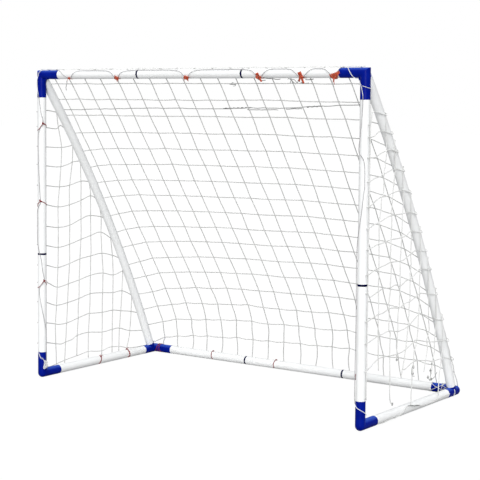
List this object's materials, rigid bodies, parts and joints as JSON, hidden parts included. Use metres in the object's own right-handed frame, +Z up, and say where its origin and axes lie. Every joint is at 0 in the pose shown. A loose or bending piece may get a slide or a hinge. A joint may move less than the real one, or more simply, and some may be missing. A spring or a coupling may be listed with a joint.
{
  "type": "push-fit practice goal with net",
  "caption": "Free-standing goal of push-fit plastic tubes on corner fittings, with curved rear stays and a knotted net tied over its back and sides.",
  "frame": {"origin": "on the ground, under the middle of the goal's width and depth", "axes": "+X along the crossbar to the right as seen from in front, -Y out of the mouth, +Z up"},
  "size_m": [1.509, 0.7587, 1.2244],
  "materials": {
    "white_tube": "smooth extruded PVC, slightly glossy",
    "blue_fitting": "moulded plastic, glossy",
    "navy_ring": "moulded plastic, satin",
    "net_twine": "twisted twine, matte",
    "edge_cord": "thin braided cord, matte",
    "orange_tie": "flat woven ribbon, matte",
    "red_tie": "thin twine, matte",
    "white_lashing": "thin cord, matte"
  },
  "bodies": {
    "root": {"crossbar_left": "white_tube", "crossbar_middle": "white_tube", "crossbar_right": "white_tube", "crossbar_coupler_left": "navy_ring", "crossbar_coupler_right": "navy_ring", "upright_left_lower": "white_tube", "upright_left_upper": "white_tube", "upright_right_lower": "white_tube", "upright_right_upper": "white_tube", "upright_coupler_left": "navy_ring", "upright_coupler_right": "navy_ring", "side_base_left": "white_tube", "side_base_right": "white_tube", "rear_bar_left": "white_tube", "rear_bar_middle": "white_tube", "rear_bar_right": "white_tube", "rear_coupler_left": "navy_ring", "rear_coupler_right": "navy_ring", "stay_left": "white_tube", "stay_right": "white_tube", "corner_top_left": "blue_fitting", "corner_top_right": "blue_fitting", "corner_front_left": "blue_fitting", "corner_front_right": "blue_fitting", "corner_rear_left": "blue_fitting", "corner_rear_right": "blue_fitting", "net_back": "net_twine", "net_side_left": "net_twine", "net_side_right": "net_twine", "mouth_cord": "edge_cord", "ties_crossbar": "orange_tie", "ties_upright_left": "red_tie", "ties_side_base_left": "red_tie", "ties_rear_bar": "red_tie", "lashings_rear_right": "white_lashing"}
  },
  "joints": []
}
